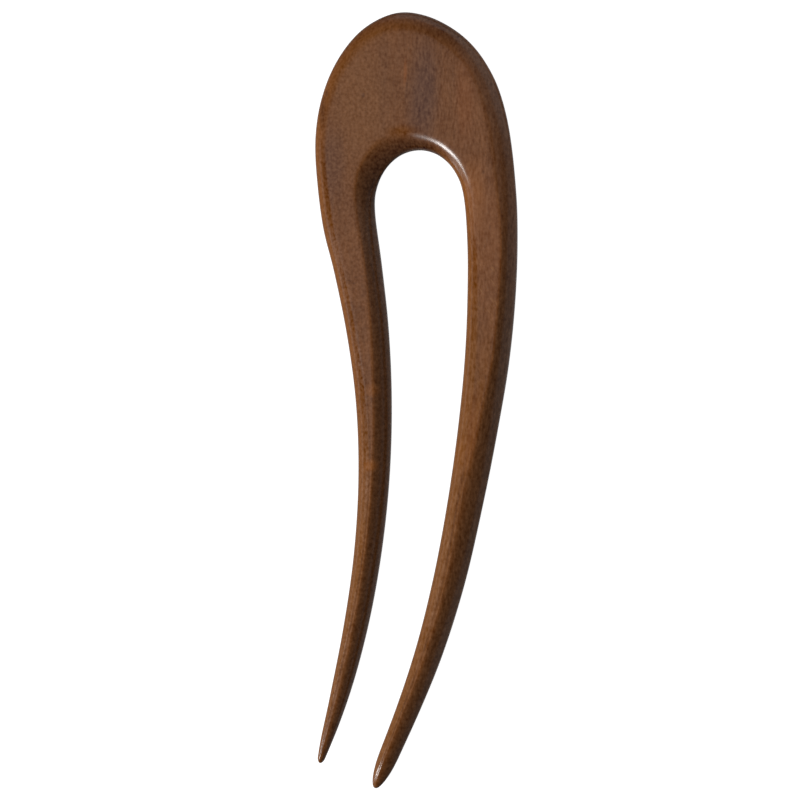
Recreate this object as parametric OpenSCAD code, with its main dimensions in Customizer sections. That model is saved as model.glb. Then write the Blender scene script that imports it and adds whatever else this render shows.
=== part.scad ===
// U-shaped hairpin: a two-pronged hair fork carved in one piece from a flat board of wood.
// It lies on its back with the crown towards +Y, the tips towards -Y and the front face up.
// The origin is on the surface that it lies on, under the middle of its outline.

/* [Overall] */
// Length from the top of the crown to the longer tip
pin_l = 150; // [120:1:180]
// Width across the widest part
pin_w = 41.2; // [36:0.2:46]
// Thickness of the board that it is carved from
board_t = 6.2; // [5.6:0.1:7.5]
// How far the rounding of the edges reaches in, and how far down
edge_r = 3; // [1.2:0.1:3]

/* [Arch] */
// Half width of the arch between the prongs
arch_rx = 9.4; // [8:0.2:10.6]
// Half height of the arch
arch_ry = 10.9; // [9:0.1:12]

/* [Smoothness] */
// Longest step between two cross-sections
ring_step = 2.5; // [2.5:0.5:6]
// Facets in each rounded edge of a cross-section
corner_n = 5; // [3:1:6]
// Facets across the front and across the back of a cross-section
face_n = 4; // [2:1:5]
// Rings in the rounded nose of each tip
nose_n = 5; // [3:1:7]

/* [Hidden] */

wood = [0.44, 0.29, 0.21];

// Middle of the arch, from which the crown's sections fan out
arch_at = [0.7, 37.5];

// The roundness of an edge is 2 for a quarter of an ellipse, and less for one nearer to a flat bevel.

// The crown, one row for each section: direction from the middle of the arch in degrees, distance
// to the outer edge, the reach of the rounding at the outer edge and at the arch as shares of
// edge_r, and the roundness of the outer edge and of the arch's
CROWN = [
    [165, 21.6, 1.2,  1.15, 2,   1.4],
    [150, 24.5, 1.3,  1.3,  2,   1.3],
    [135, 28.5, 1.4,  1.45, 2,   1.4],
    [120, 33.1, 1.45, 1.6,  2,   1.6],
    [108, 36.4, 1.5,  1.6,  2,   1.8],
    [ 96, 37.8, 1.5,  1.45, 2,   1.9],
    [ 84, 36.2, 1.5,  1.25, 1.9, 2],
    [ 72, 33.3, 1.4,  1.2,  1.8, 2],
    [ 60, 29.5, 1.35, 1.15, 1.6, 2],
    [ 45, 24.9, 1.3,  1.1,  1.5, 2],
    [ 30, 21.7, 1.2,  1.05, 1.5, 2],
];

// Columns of the prong tables: height of a section's middle, its place across, direction from the
// inner to the outer edge in degrees, width, the thickness and the space under its back as shares
// of the board, the reach of the rounding at the inner and the outer edge as shares of edge_r, and
// the roundness of the edge that faces right
Y = 0;
X = 1;
TURN = 2;
WIDTH = 3;
THICK = 4;
UNDER = 5;
INSIDE = 6;
OUTSIDE = 7;
ROUND = 8;

// One row for each section, from the crown down to the tip. The last two bound the rounded nose.
LEFT_PRONG = [
    [ 36,   -13.9, 188, 10.7, 1.00, 0,    1.0,  1.15, 1.5],
    [ 26,   -12.0, 190,  9.5, 1.00, 0,    0.8,  1.05, 1.5],
    [ 14,   -10.0, 187,  8.3, 1.00, 0,    0.85, 1.0,  1.5],
    [  0,    -8.7, 183,  7.0, 0.98, 0,    0.85, 1.0,  1.4],
    [-15,    -8.7, 178,  6.0, 0.95, 0,    0.8,  0.95, 1.4],
    [-30,   -10.1, 172,  5.2, 0.90, 0,    0.7,  0.8,  1.4],
    [-45,   -12.8, 167,  4.5, 0.80, 0.02, 0.65, 0.6,  1.5],
    [-58,   -16.1, 164,  3.4, 0.60, 0.12, 0.5,  0.4,  1.6],
    [-69.2, -19.5, 164,  1.4, 0.26, 0.33, 0.3,  0.2,  1.8],
    [-70.2, -19.8, 164,  1.1, 0.22, 0.35, 0.3,  0.2,  1.8],
];
RIGHT_PRONG = [
    [ 40,    15.1,   8, 10.4, 1.00, 0,    1.05, 1.0,  1.5],
    [ 30,    15.6,   1,  9.8, 1.00, 0,    1.0,  0.75, 1.5],
    [ 20,    15.4,  -2,  9.4, 1.00, 0,    1.0,  0.8,  1.5],
    [  8,    14.5,  -6,  8.7, 1.00, 0,    1.0,  0.8,  1.5],
    [ -5,    12.7,  -9,  7.8, 0.98, 0,    0.95, 1.0,  1.4],
    [-20,    10.0, -12,  6.9, 0.95, 0,    0.85, 1.1,  1.4],
    [-35,     6.6, -15,  6.2, 0.90, 0,    0.85, 0.9,  1.4],
    [-50,     2.0, -20,  5.2, 0.80, 0.03, 0.7,  0.75, 1.4],
    [-60,    -1.9, -23,  4.4, 0.72, 0.08, 0.55, 0.7,  1.4],
    [-68.5,  -5.6, -24,  3.8, 0.62, 0.15, 0.5,  0.6,  1.5],
    [-75,    -8.5, -24,  3.5, 0.55, 0.20, 0.45, 0.55, 1.6],
];

// A section is a row of ten numbers: its inner edge, its outer edge, its thickness, the height of
// its back, how far the rounding reaches in from the inner and from the outer edge, and the
// roundness of the two.
function inner(s) = [s[0], s[1]];
function outer(s) = [s[2], s[3]];
function middle(s) = (inner(s) + outer(s)) / 2;
function thickness(s) = min(board_t, s[4]);
function back(s) = max(0, s[5]);

function prong_section(row) =
    let(middle = [row[X], row[Y]], half = row[WIDTH] / 2 * [cos(row[TURN]), sin(row[TURN])],
        rounds = half.x < 0 ? [row[ROUND], 2] : [2, row[ROUND]])
    concat(middle - half, middle + half, row[THICK] * board_t, row[UNDER] * board_t,
        row[INSIDE] * edge_r, row[OUTSIDE] * edge_r, rounds);

// A section of the crown, on one ray from the middle of the arch out to the crown's edge
function crown_section(row) =
    let(ray = [cos(row[0]), sin(row[0])], arch_reach = 1 / norm([ray.x / arch_rx, ray.y / arch_ry]))
    concat(arch_at + arch_reach * ray, arch_at + row[1] * ray, board_t, 0, row[3] * edge_r, row[2] * edge_r,
        row[5], row[4]);

// Every section in order, from the left tip over the crown to the right tip
SECTIONS = concat(
    [for (i = [len(LEFT_PRONG) - 1:-1:0]) prong_section(LEFT_PRONG[i])],
    [for (row = CROWN) crown_section(row)],
    [for (row = RIGHT_PRONG) prong_section(row)]
);
LAST = len(SECTIONS) - 1;

// Distance from section i to the next one, between their middles
function span(i) = norm(middle(SECTIONS[i + 1]) - middle(SECTIONS[i]));

// How fast a section changes at section i, from the parabola through it and its two neighbours
function slope(i) =
    i == 0 ? (SECTIONS[1] - SECTIONS[0]) / span(0) :
    i == LAST ? (SECTIONS[LAST] - SECTIONS[LAST - 1]) / span(LAST - 1) :
    let(before = span(i - 1), after = span(i))
    ((SECTIONS[i + 1] - SECTIONS[i]) * before / after + (SECTIONS[i] - SECTIONS[i - 1]) * after / before)
        / (before + after);

// The section at the share f of the way from section i to the next one, on a smooth curve
function between(i, f) =
    let(f2 = f * f, f3 = f2 * f)
    (2 * f3 - 3 * f2 + 1) * SECTIONS[i] + (3 * f2 - 2 * f3) * SECTIONS[i + 1]
        + span(i) * ((f3 - 2 * f2 + f) * slope(i) + (f3 - f2) * slope(i + 1));

// A section drawn in to the share k around its own middle, as the nose of a tip closes
function drawn_in(s, k) =
    let(m = middle(s))
    concat(m + (inner(s) - m) * k, m + (outer(s) - m) * k, s[4] * k, s[5] + s[4] * (1 - k) / 2,
        s[6] * k, s[7] * k, s[8], s[9]);

// The nose of a tip is a quarter of an ellipse, cut at equal angles
nose_angles = [for (k = [1:nose_n]) 90 * k / (nose_n + 1)];

RINGS = concat(
    [for (k = [nose_n - 1:-1:0]) drawn_in(between(0, 1 - sin(nose_angles[k])), cos(nose_angles[k]))],
    [for (i = [1:LAST - 2]) let(n = ceil(span(i) / ring_step)) for (k = [0:n - 1]) between(i, k / n)],
    [SECTIONS[LAST - 1]],
    [for (a = nose_angles) drawn_in(between(LAST - 1, sin(a)), cos(a))]
);

// Outline of a cross-section of width w and thickness t, as distance from its inner edge and
// height. Its rounded edges reach in by a at the inner and by b at the outer edge. Those of the
// front have the roundness p and q, and those of the back are quarters of ellipses.
function outline(w, t, a, b, p, q) =
    let(h = min(edge_r, 0.49 * t),
        corner = [for (k = [0:corner_n]) 90 * k / corner_n],
        inner_in = [for (c = corner) a - a * pow(cos(c), 2 / p)],
        inner_up = [for (c = corner) t - h + h * pow(sin(c), 2 / p)],
        outer_out = [for (c = corner) w - b + b * pow(sin(c), 2 / q)],
        outer_up = [for (c = corner) t - h + h * pow(cos(c), 2 / q)],
        across = [for (k = [1:face_n - 1]) a + (w - a - b) * k / face_n])
    concat(
        [for (k = [0:corner_n]) [inner_in[k], inner_up[k]]],
        [for (d = across) [d, t]],
        [for (k = [0:corner_n]) [outer_out[k], outer_up[k]]],
        [for (c = corner) [w - b + b * cos(c), h - h * sin(c)]],
        [for (k = [1:face_n - 1]) [across[face_n - 1 - k], 0]],
        [for (c = corner) [a - a * sin(c), h - h * cos(c)]]
    );

// The points of a section, whose two roundings meet at most near the middle of its width
function ring_points(s) =
    let(w = norm(outer(s) - inner(s)), across = (outer(s) - inner(s)) / w,
        a = min(s[6], 0.49 * w), b = min(s[7], 0.98 * w - a))
    [for (p = outline(w, thickness(s), a, b, s[8], s[9])) concat(inner(s) + p[0] * across, back(s) + p[1])];

function tip_point(s) = concat(middle(s), back(s) + thickness(s) / 2);

DRAWN = concat(
    [for (s = RINGS) each ring_points(s)],
    [tip_point(SECTIONS[0]), tip_point(SECTIONS[LAST])]
);

// The drawn outline's box, which is brought to the asked size and centred over the origin
low = [for (k = [0, 1]) min([for (p = DRAWN) p[k]])];
high = [for (k = [0, 1]) max([for (p = DRAWN) p[k]])];
centre = (low + high) / 2;
stretch = [pin_w / (high.x - low.x), pin_l / (high.y - low.y)];
POINTS = [for (p = DRAWN) [(p.x - centre.x) * stretch.x, (p.y - centre.y) * stretch.y, p.z]];

ring_n = 4 * (corner_n + 1) + 2 * (face_n - 1);
last_ring = len(RINGS) - 1;
left_tip = len(RINGS) * ring_n;
right_tip = left_tip + 1;

function vertex(ring, k) = ring * ring_n + k % ring_n;

FACES = concat(
    [for (k = [0:ring_n - 1]) [left_tip, vertex(0, k + 1), vertex(0, k)]],
    [for (j = [0:last_ring - 1]) for (k = [0:ring_n - 1])
        [vertex(j, k), vertex(j, k + 1), vertex(j + 1, k + 1), vertex(j + 1, k)]],
    [for (k = [0:ring_n - 1]) [right_tip, vertex(last_ring, k), vertex(last_ring, k + 1)]]
);

module hair_fork() {
    color(wood) polyhedron(points = POINTS, faces = FACES, convexity = 6);
}

hair_fork();
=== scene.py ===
import bpy
import math
from mathutils import Matrix, Quaternion, Vector


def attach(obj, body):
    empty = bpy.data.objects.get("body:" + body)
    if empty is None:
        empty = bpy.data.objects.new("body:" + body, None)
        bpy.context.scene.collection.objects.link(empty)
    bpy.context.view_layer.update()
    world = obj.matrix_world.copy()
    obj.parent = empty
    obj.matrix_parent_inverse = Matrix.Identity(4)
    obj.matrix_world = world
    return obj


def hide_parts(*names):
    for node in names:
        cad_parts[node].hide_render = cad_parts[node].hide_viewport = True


# A carved wooden hair fork lying on a pale floor: stained hardwood under a satin lacquer.
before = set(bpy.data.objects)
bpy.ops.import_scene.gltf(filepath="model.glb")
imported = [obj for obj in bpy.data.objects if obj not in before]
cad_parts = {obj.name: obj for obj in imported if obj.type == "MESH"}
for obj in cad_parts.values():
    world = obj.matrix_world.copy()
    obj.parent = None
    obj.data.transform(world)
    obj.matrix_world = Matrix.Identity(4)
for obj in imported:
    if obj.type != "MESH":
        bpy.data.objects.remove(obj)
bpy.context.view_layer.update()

MM = 0.001

# How the photograph was taken: the camera leans to the right of straight above, and the picture is
# this many millimetres wide. Its middle lies a little left of the fork's own middle.
PICTURE_WIDTH = 154.6 * MM
CAMERA_LEAN = math.radians(20)
CAMERA_LENS = 900
SENSOR_WIDTH = 36
AIM_RIGHT = -4.16 * MM
AIM_UP = 0.08 * MM
AIM_LIFT = 3.0 * MM

# The studio round the fork, as a mirror in its place would show it. Each panel has a direction, from
# +X towards +Y and up from the floor, in degrees, and a width and height in metres at one metre's
# distance. Its brightness counts the white floor as 1. The last value is how far it is turned in its
# own plane.
PANELS = [
    ("key_softbox", 204, 49, 0.18, 0.32, 36, 45),
    ("key_glow", 202, 50, 0.34, 0.40, 0.3, 0),
    ("window", 203, 24, 0.18, 0.26, 1.2, 0),
    ("window_foot", 201, 8, 0.18, 0.30, 3, 0),
    ("left_wall", 188, 24, 0.42, 0.36, 0.9, 0),
    ("left_sky", 160, 48, 0.49, 0.46, 0.36, 0),
    ("overhead", 138, 72, 0.50, 0.30, 0.45, 0),
    ("zenith", 160, 84, 0.30, 0.20, 0.25, 0),
    ("zenith_back", 60, 74, 0.40, 0.40, 0.25, 0),
    ("back_wall", 98, 0, 1.20, 0.64, 0.5, 0),
    ("back_wall_top", 110, 28, 0.90, 0.30, 0.13, 0),
    ("right_back_wall", 42, 0, 1.00, 0.88, 0.55, 0),
    ("right_back_sky", 42, 44, 0.80, 0.60, 0.25, 0),
    ("right_wall", -10, -14, 1.00, 1.00, 0.25, 0),
    ("floor_bounce", 0, -90, 3.00, 3.00, 0.18, 0),
]
ROOM_BRIGHTNESS = 0.12
FLOOR_WIDTH = 6

# The wood's figure on the front face, as soft spots: place across and along, half width and half
# length, all in millimetres, and strength. First, where the stain came out cooler, warmer, paler or
# darker than elsewhere.
GREYED_SPOTS = [
    (2.2, 59, 3.6, 13, 0.95),
    (-16, 45, 3.0, 9, 0.5),
    (5.5, 73, 6.0, 3, 0.4),
]
WARM_SPOTS = [
    (11.5, 58, 2.6, 11, 0.5),
    (10.0, -8, 1.4, 4, 0.6),
    (9.4, 12, 1.4, 14, 0.6),
    (12.5, -5, 2.4, 9, 0.5),
    (15.5, 28, 5.0, 20, 0.3),
]
PALE_SPOTS = [
    (-10.0, 57, 8.0, 16, 0.5),
    (-9.0, 70, 6.0, 4, 0.3),
]
DARK_SPOTS = [
    (-1.3, 60, 0.35, 2.4, 0.5),
    (-9.6, 59, 0.4, 0.6, 0.7),
    (15.2, 44, 0.4, 0.5, 0.7),
    (7.0, 71, 8.0, 2.5, 0.3),
]
# Dark marks on the crown's left rim, and where painted shade lies in the arch
RIM_SPOTS = [
    (-18.3, 56.0, 1.0, 4.0, 0.75),
    (-17.5, 59.4, 0.5, 1.0, 0.8),
]
ARCH_SHADE_SPOTS = [(0, 43, 15, 14, 1.0)]
# A warm streak on the crown, and places where the stain is worn thin
STREAK_SPOTS = [(-1.8, 63.5, 0.4, 3.0, 0.8)]
BARE_SPOTS = [
    (12.8, 39.5, 3.2, 9, 0.9),
    (-8.8, 2.0, 1.8, 1.6, 0.8),
    (-8.9, -12.6, 1.8, 1.4, 0.9),
    (11.0, -10.5, 2.6, 4.5, 0.4),
]
# Where there are short scratches across the grain, and short pale marks askew
SCRATCHED_SPOTS = [
    (-10.0, 23.3, 6.0, 1.6, 0.9),
    (-8.8, 1.8, 4.0, 2.4, 0.8),
]
FLECKED_SPOTS = [
    (15.5, 22, 4.0, 9, 0.5),
    (13.8, 4, 3.0, 6, 0.3),
]
FLECK_TURN = math.radians(-35)
# Where the lacquer has gone dull, and where a rubbed edge kept its gloss
DULL_SPOTS = [(-1.5, 51.9, 4.2, 1.6, 0.8)]
GLOSSY_SPOTS = [(12.5, 37.0, 3.0, 9, 0.6)]

# The stain's colours, and the painted light and shade that go over them
DEEP_STAIN = (0.115, 0.0370, 0.0085, 1)
MIDDLE_STAIN = (0.196, 0.0640, 0.0118, 1)
WARM_STAIN = (0.255, 0.0760, 0.0120, 1)
GREYED_STAIN = (0.125, 0.0460, 0.0200, 1)
PALE_STAIN = (0.215, 0.0800, 0.0190, 1)
# Painted shade: every rounding is a little darker and more saturated than the flat face
EDGE_SHADE = (0.155, 0.0475, 0.0090, 1)
# Painted shade on the right-leaning flanks, which face away from the lamps
FLANK_SHADE = (0.125, 0.0460, 0.0110, 1)
# Painted light on the left-leaning sides, which face the lamps
LIT_SIDE_COLOUR = (0.285, 0.1020, 0.0250, 1)
BARE_STAIN = (0.290, 0.0950, 0.0170, 1)
FLECK_STAIN = (0.320, 0.1350, 0.0400, 1)
# Painted light on the lit left-hand facets of the prongs lower down
LIT_LOW_COLOUR = (0.250, 0.1000, 0.0330, 1)
# Painted shade in the arch, where little light reaches
ARCH_SHADE = (0.060, 0.0200, 0.0060, 1)
# What the finest speckle adds to the stain where it is palest
PALE_SPECKLE = (0.044, 0.022, 0.010)

WOOD_ROUGHNESS = 0.5
RELIEF_STRENGTH = 0.2
RELIEF_DEPTH = 0.02 * MM
LACQUER = 0.85
LACQUER_ROUGHNESS = 0.23
LACQUER_IOR = 1.56

# How the solid's mesh is made smooth
MERGE_DISTANCE = 0.001 * MM
JOIN_ANGLE = math.radians(60)
ROUNDING_LEVELS = 2
SOFTENING_STRENGTH = 0.5
SOFTENING_PASSES = 8


def deselect():
    for thing in bpy.context.selected_objects:
        thing.select_set(False)


def take_in_hand(thing):
    """Makes one object the only one that the operators act on."""
    deselect()
    thing.select_set(True)
    bpy.context.view_layer.objects.active = thing


class Wire:
    """A value that varies over the surface. Python's operators on it add the Math nodes."""

    def __init__(self, tree, socket=None):
        self.tree = tree
        self.socket = socket

    def node(self, kind, settings={}, inputs={}, output=0):
        """Adds a node of that kind. Its settings are made first, then its sockets get values or wires."""
        made = self.tree.nodes.new("ShaderNode" + kind)
        for name, setting in settings.items():
            setattr(made, name, setting)
        for name, given in inputs.items():
            if isinstance(given, Wire):
                self.tree.links.new(given.socket, made.inputs[name])
            else:
                made.inputs[name].default_value = given
        return Wire(self.tree, made.outputs[output])

    def math(self, operation, *terms):
        return self.node("Math", {"operation": operation}, dict(enumerate(terms)))

    def __add__(self, other):
        return self.math("ADD", self, other)

    def __sub__(self, other):
        return self.math("SUBTRACT", self, other)

    def __rsub__(self, other):
        return self.math("SUBTRACT", other, self)

    def __mul__(self, other):
        return self.math("MULTIPLY", self, other)

    __radd__ = __add__
    __rmul__ = __mul__


def studio_floor():
    """A wide white floor. It is kept out of the wood's own light, which comes from the studio alone."""
    bpy.ops.mesh.primitive_plane_add(size=FLOOR_WIDTH)
    floor = bpy.context.object
    floor.name = "floor"
    floor.visible_diffuse = False
    floor.visible_glossy = False
    floor.visible_shadow = False
    material = bpy.data.materials.new("white_floor")
    material.use_nodes = True
    shader = material.node_tree.nodes["Principled BSDF"]
    shader.inputs["Base Color"].default_value = (0.25, 0.25, 0.25, 1)
    shader.inputs["Roughness"].default_value = 0.9
    shader.inputs["Specular IOR Level"].default_value = 0
    shader.inputs["Emission Color"].default_value = (1, 1, 1, 1)
    shader.inputs["Emission Strength"].default_value = 1.0
    floor.data.materials.append(material)


def panel(name, azimuth, elevation, width, height, brightness, roll):
    """A soft rectangular light a metre away, facing the fork."""
    light = bpy.data.lights.new(name, "AREA")
    light.shape = "RECTANGLE"
    light.size = width
    light.size_y = height
    light.energy = brightness * math.pi * width * height
    lamp = bpy.data.objects.new(name, light)
    bpy.context.scene.collection.objects.link(lamp)
    turn, rise = math.radians(azimuth), math.radians(elevation)
    towards = Vector((math.cos(rise) * math.cos(turn), math.cos(rise) * math.sin(turn), math.sin(rise)))
    lamp.location = towards
    rolled = Quaternion((0, 0, 1), math.radians(roll))
    lamp.rotation_euler = (towards.to_track_quat("Z", "Y") @ rolled).to_euler()
    lamp.visible_camera = False


def studio_light():
    world = bpy.data.worlds.new("studio")
    bpy.context.scene.world = world
    world.use_nodes = True
    world.node_tree.nodes["Background"].inputs["Color"].default_value = (1, 1, 1, 1)
    world.node_tree.nodes["Background"].inputs["Strength"].default_value = ROOM_BRIGHTNESS
    for row in PANELS:
        panel(*row)


def studio_camera():
    """The camera leans by CAMERA_LEAN towards +X from straight above, and sees PICTURE_WIDTH."""
    data = bpy.data.cameras.new("camera")
    data.sensor_width = SENSOR_WIDTH
    data.lens = CAMERA_LENS
    camera = bpy.data.objects.new("camera", data)
    bpy.context.scene.collection.objects.link(camera)
    bpy.context.scene.camera = camera
    right = Vector((math.cos(CAMERA_LEAN), 0, -math.sin(CAMERA_LEAN)))
    up = Vector((0, 1, 0))
    towards = right.cross(up)
    aim = right * AIM_RIGHT + up * AIM_UP + towards * AIM_LIFT
    camera.location = aim + towards * PICTURE_WIDTH * CAMERA_LENS / SENSOR_WIDTH
    camera.rotation_euler = Matrix((right, up, towards)).transposed().to_euler()
    data.clip_start = 0.05
    data.clip_end = 20
    bpy.context.scene.view_settings.view_transform = "Standard"


def stained_wood():
    """Fine-grained hardwood, stained reddish brown, under a satin lacquer. The grain runs along Y, right
    through the wood. Sizes are millimetres."""
    material = bpy.data.materials.new("stained_wood")
    material.use_nodes = True
    tree = material.node_tree
    shader = tree.nodes["Principled BSDF"]
    start = Wire(tree)

    def stretched(vector, sizes):
        return vector.node("VectorMath", {"operation": "DIVIDE"}, {0: vector, 1: sizes})

    def component(vector, axis):
        return vector.node("SeparateXYZ", {}, {0: vector}, axis)

    def cloud(vector, sizes, detail=1.0):
        """Soft noise with features of those sizes, mostly between -1 and 1."""
        noise = vector.node("TexNoise", {}, {
            "Vector": stretched(vector, sizes), "Scale": 1.0, "Detail": detail})
        return (noise - 0.5) * 4.0

    def rise(value, low, high):
        """Goes softly from 0 at low to 1 at high."""
        return value.node("MapRange", {"interpolation_type": "SMOOTHSTEP"},
                          {"Value": value, "From Min": low, "From Max": high})

    def spots(vector, rows):
        """The strongest of some soft spots, from 0 to 1."""
        strongest = 0.0
        for right, up, half_width, half_length, strength in rows:
            moved = vector.node("VectorMath", {"operation": "SUBTRACT"}, {0: vector, 1: (right, up, 0)})
            flat = stretched(moved, (half_width, half_length, 1000))
            reach = vector.node("VectorMath", {"operation": "LENGTH"}, {0: flat}, "Value")
            spot = (1 - rise(reach, 0.2, 1.2)) * strength
            strongest = spot.math("MAXIMUM", spot, strongest)
        return strongest

    # Where a point is, and which way the surface leans there. The grain wanders a little.
    object_place = start.node("TexCoord", output="Object")
    place = start.node("VectorMath", {"operation": "SCALE"}, {0: object_place, "Scale": 1 / MM})
    across, along = component(place, "X"), component(place, "Y")
    wander = start.node("CombineXYZ", {}, {"X": cloud(place, (14, 30, 14)) * 1.2})
    grain = start.node("VectorMath", {"operation": "ADD"}, {0: place, 1: wander})
    lean = start.node("Attribute", {"attribute_name": "lean"}, output="Vector")
    lean_right, lean_back, lean_up = (component(lean, axis) for axis in "XYZ")
    lean_left = 0 - lean_right

    # The grain, from its broad bands down to its speckle
    bands = cloud(grain, (2.2, 70, 2.2), 2.0)
    mottle = cloud(grain, (7, 11, 7), 2.0)
    fibres = cloud(grain, (0.35, 5, 0.35))
    dashes = cloud(grain, (0.45, 1.5, 0.45))
    speckle = cloud(place, (0.55, 0.60, 0.55))
    blotches = cloud(grain, (1.8, 3.6, 1.8), 2.0) * (1 - rise(along, 20.0, 45.0))
    tone = 0.5 + bands * 0.10 + mottle * 0.12 + fibres * 0.06 + blotches * 0.16
    straightness = rise(component(grain, "X"), -12.0, 4.0)
    texture = speckle * (1 - straightness * 0.4) + dashes * (0.2 + straightness * 0.7)
    pore_cells = grain.node("TexVoronoi", {}, {"Vector": stretched(grain, (0.8, 3.0, 0.8)), "Scale": 1.0})
    pores = (1 - rise(pore_cells, 0.08, 0.24)) * rise(mottle + dashes, 0.2, 1.0)

    # Marks
    turned = place.node("VectorRotate", {"rotation_type": "Z_AXIS"}, {"Vector": place, "Angle": FLECK_TURN})
    flecks = rise(cloud(turned, (0.4, 2.4, 0.4)), 0.3, 1.0) * spots(place, FLECKED_SPOTS)
    scratches = rise(cloud(place, (1.6, 0.24, 1.6)), 0.2, 0.9) * spots(place, SCRATCHED_SPOTS)
    dark_marks = spots(grain, DARK_SPOTS) + spots(place, RIM_SPOTS) + pores * 0.5 + scratches * 0.8

    # Painted light and shade by the surface's lean: shade on every rounding, on the right-leaning flanks
    # and in the arch;
    # light on the left-leaning sides, more on the prongs lower down. The lacquer is rubbed off just inside
    # the left-hand edges.
    # Painted shade on every rounding, where the surface turns away from the front face
    shaded_edge = 1 - rise(lean_up, 0.80, 0.99)
    # Painted shade on the right-leaning flanks; on the crown's right flank it is warmed a little
    shaded_flank = rise(lean_right, 0.25, 0.65)
    crown_shaded_flank = shaded_flank * rise(across, 5.0, 12.0) * rise(along, 10.0, 45.0)
    # Painted light on the left-leaning sides, less where they lean back
    lit_side = rise(lean_left, 0.20, 0.65) * (1 - rise(lean_back, 0.20, 0.55) * 0.8)
    low_down = 1 - rise(along - across, -20.0, 20.0)
    # Painted light on the left-leaning facets of the prongs lower down
    lit_low_facets = low_down * rise(lean_left + 0.05, 0.0, 0.15)
    rubbed_band = rise(low_down * 0.10 + lean_left, 0.03, 0.15) - rise(lean_left, 0.28, 0.50)
    kept_gloss = rise(along, 42.0, 56.0) * 0.45 + spots(place, GLOSSY_SPOTS)
    rubbed = rubbed_band * rise(lean_back, -0.10, -0.03) * (0.95 - mottle * 0.15 - kept_gloss)
    dull = rubbed.math("MAXIMUM", rubbed, spots(place, DULL_SPOTS))
    # Painted shade on the arch's inner wall, where it faces right and to the front
    arch_shade = rise(lean_right * 0.5 - lean_back * 0.87, 0.1, 0.5) * spots(place, ARCH_SHADE_SPOTS)

    # Each colour goes over the ones before it.
    stain = DEEP_STAIN
    for colour, share in [
        (MIDDLE_STAIN, rise(tone, -0.1, 1.1) * 1.4),
        (WARM_STAIN, spots(grain, WARM_SPOTS)),
        (PALE_STAIN, spots(grain, PALE_SPOTS)),
        (GREYED_STAIN, spots(grain, GREYED_SPOTS)),
        (EDGE_SHADE, shaded_edge * 0.8),
        (FLANK_SHADE, shaded_flank * 0.7),
        (WARM_STAIN, crown_shaded_flank * 0.3),
        (LIT_SIDE_COLOUR, lit_side * 0.8),
        (LIT_LOW_COLOUR, lit_low_facets * 0.8),
        (ARCH_SHADE, arch_shade * 0.9),
        (DEEP_STAIN, dark_marks),
        (WARM_STAIN, spots(grain, STREAK_SPOTS)),
        (BARE_STAIN, spots(grain, BARE_SPOTS) * (0.8 + mottle * 0.3)),
        (FLECK_STAIN, flecks),
    ]:
        stain = share.node("Mix", {"data_type": "RGBA"}, {0: share, 6: stain, 7: colour}, output=2)
    speckled = start.node("VectorMath", {"operation": "MULTIPLY_ADD"}, {
        0: texture, 1: PALE_SPECKLE, 2: stain})
    relief = start.node("Bump", {}, {
        "Height": texture + fibres, "Strength": RELIEF_STRENGTH, "Distance": RELIEF_DEPTH})
    lacquer = LACQUER + texture * 0.12 - dull * 0.8

    tree.links.new(speckled.socket, shader.inputs["Base Color"])
    tree.links.new(relief.socket, shader.inputs["Normal"])
    tree.links.new(lacquer.socket, shader.inputs["Coat Weight"])
    shader.inputs["Roughness"].default_value = WOOD_ROUGHNESS
    shader.inputs["Specular IOR Level"].default_value = 0
    shader.inputs["Coat Roughness"].default_value = LACQUER_ROUGHNESS
    shader.inputs["Coat IOR"].default_value = LACQUER_IOR
    return material


def swell(fork):
    """A subdivided surface shrinks away from its own cage. This moves the cage out by as much."""
    bpy.context.view_layer.update()
    smooth = fork.evaluated_get(bpy.context.evaluated_depsgraph_get()).data
    misses = [vertex.co - smooth.vertices[i].co for i, vertex in enumerate(fork.data.vertices)]
    for vertex, miss in zip(fork.data.vertices, misses):
        vertex.co += miss


def mark_lean(fork):
    """Marks which way the surface leans, for the painted light and shade that follow it and for where the
    lacquer is rubbed.
    """
    lean = fork.data.attributes.new("lean", "FLOAT_VECTOR", "POINT")
    for vertex, mark in zip(fork.data.vertices, lean.data):
        mark.vector = vertex.normal


def carved_fork(wood):
    """The fork, from a copy of the frame's solid: its triangles are merged and joined into four-sided
    faces, and subdivided until its roundings are smooth."""
    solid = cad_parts["hair_fork"]
    fork = bpy.data.objects.new("carved_fork", solid.data.copy())
    bpy.context.scene.collection.objects.link(fork)
    take_in_hand(fork)
    bpy.ops.object.mode_set(mode="EDIT")
    bpy.ops.mesh.select_all(action="SELECT")
    bpy.ops.mesh.remove_doubles(threshold=MERGE_DISTANCE)
    bpy.ops.mesh.tris_convert_to_quads(face_threshold=JOIN_ANGLE, shape_threshold=JOIN_ANGLE)
    bpy.ops.object.mode_set(mode="OBJECT")
    rounding = fork.modifiers.new("rounding", "SUBSURF")
    rounding.levels = ROUNDING_LEVELS
    rounding.render_levels = ROUNDING_LEVELS
    swell(fork)
    bpy.ops.object.modifier_apply(modifier="rounding")
    softening = fork.modifiers.new("softening", "SMOOTH")
    softening.factor = SOFTENING_STRENGTH
    softening.iterations = SOFTENING_PASSES
    bpy.ops.object.modifier_apply(modifier="softening")
    bpy.ops.object.shade_smooth()
    mark_lean(fork)
    fork.data.materials.clear()
    fork.data.materials.append(wood)
    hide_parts("hair_fork")
    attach(fork, "root")


deselect()
studio_camera()
studio_light()
studio_floor()
carved_fork(stained_wood())
